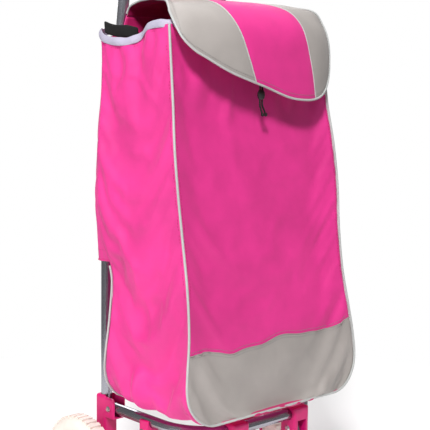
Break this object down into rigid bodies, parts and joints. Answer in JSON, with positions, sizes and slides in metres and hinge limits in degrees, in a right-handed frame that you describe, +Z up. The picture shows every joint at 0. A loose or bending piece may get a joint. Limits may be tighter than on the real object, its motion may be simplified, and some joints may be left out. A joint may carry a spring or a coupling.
{
  "type": "shopping trolley on wheels",
  "caption": "Folding two-wheeled shopping trolley: silver tube frame, fold-up platform and stand, and a pink and grey fabric bag with a domed flap.",
  "frame": {"origin": "centre of the footprint on the floor", "axes": "+Z up, -Y towards the trolley's front, +X to its right as seen from the front"},
  "size_m": [0.3888, 0.3328, 0.9995],
  "materials": {
    "silver_tube": "satin",
    "steel": "satin",
    "chrome": "polished",
    "pink_plastic": "satin",
    "black_plastic": "satin",
    "black_foam": "matte",
    "cream_tyre": "satin",
    "pink_cloth": "matte",
    "grey_cloth": "matte",
    "lilac_nylon": "satin",
    "black_webbing": "matte",
    "board": "matte"
  },
  "bodies": {
    "frame": {"axle": "steel", "bag_body": "pink_cloth", "collar": "lilac_nylon", "front_lower_panel": "grey_cloth", "grip": "black_foam", "handle_tube": "silver_tube", "hanging_tab": "pink_cloth", "left_axle_cap": "chrome", "left_axle_spacer": "chrome", "left_bracket": "pink_plastic", "left_drawstring": "black_webbing", "left_fastening_strap": "black_webbing", "left_ferrule": "pink_plastic", "left_platform_rivet": "chrome", "left_sleeve": "pink_cloth", "left_tab_snap": "chrome", "left_upright": "silver_tube", "lower_crossbar": "silver_tube", "right_axle_cap": "chrome", "right_axle_spacer": "chrome", "right_bracket": "pink_plastic", "right_drawstring": "black_webbing", "right_fastening_strap": "black_webbing", "right_ferrule": "pink_plastic", "right_platform_rivet": "chrome", "right_sleeve": "pink_cloth", "right_tab_snap": "chrome", "right_upright": "silver_tube", "upper_crossbar": "silver_tube"},
    "left_wheel": {"left_tyre": "cream_tyre", "left_hub": "pink_plastic"},
    "right_wheel": {"right_tyre": "cream_tyre", "right_hub": "pink_plastic"},
    "platform": {"platform_tube": "silver_tube", "left_stand_socket": "pink_plastic", "right_stand_socket": "pink_plastic", "left_bag_clip": "pink_plastic", "right_bag_clip": "pink_plastic", "left_clip_rivet": "chrome", "right_clip_rivet": "chrome", "left_stand_pin": "chrome", "right_stand_pin": "chrome", "base_board": "board"},
    "stand": {"stand_tube": "silver_tube"},
    "flap": {"flap": "pink_cloth"},
    "cord_lock": {"cord_lock": "black_plastic"}
  },
  "joints": [
    {"name": "left_wheel_spin", "type": "hinge", "parent": "frame", "child": "left_wheel", "pos_m": [-0.1675, 0.0914, 0.075], "axis": [1, 0, 0], "continuous": true},
    {"name": "right_wheel_spin", "type": "hinge", "parent": "frame", "child": "right_wheel", "pos_m": [0.1675, 0.0914, 0.075], "axis": [1, 0, 0], "continuous": true},
    {"name": "platform_fold", "type": "hinge", "parent": "frame", "child": "platform", "pos_m": [0, 0.0729, 0.157], "axis": [-1, 0, 0], "range_deg": [0, 88], "deforming": ["bag_body", "front_lower_panel"]},
    {"name": "stand_fold", "type": "hinge", "parent": "platform", "child": "stand", "pos_m": [0, -0.1116, 0.1365], "axis": [1, 0, 0], "range_deg": [0, 106]},
    {"name": "flap_lift", "type": "hinge", "parent": "frame", "child": "flap", "pos_m": [0, 0.0694, 0.712], "axis": [-1, 0, 0], "range_deg": [0, 70]},
    {"name": "cord_lock_slide", "type": "slide", "parent": "frame", "child": "cord_lock", "axis": [0, 0, 1], "range_m": [-0.004, 0.004]}
  ]
}
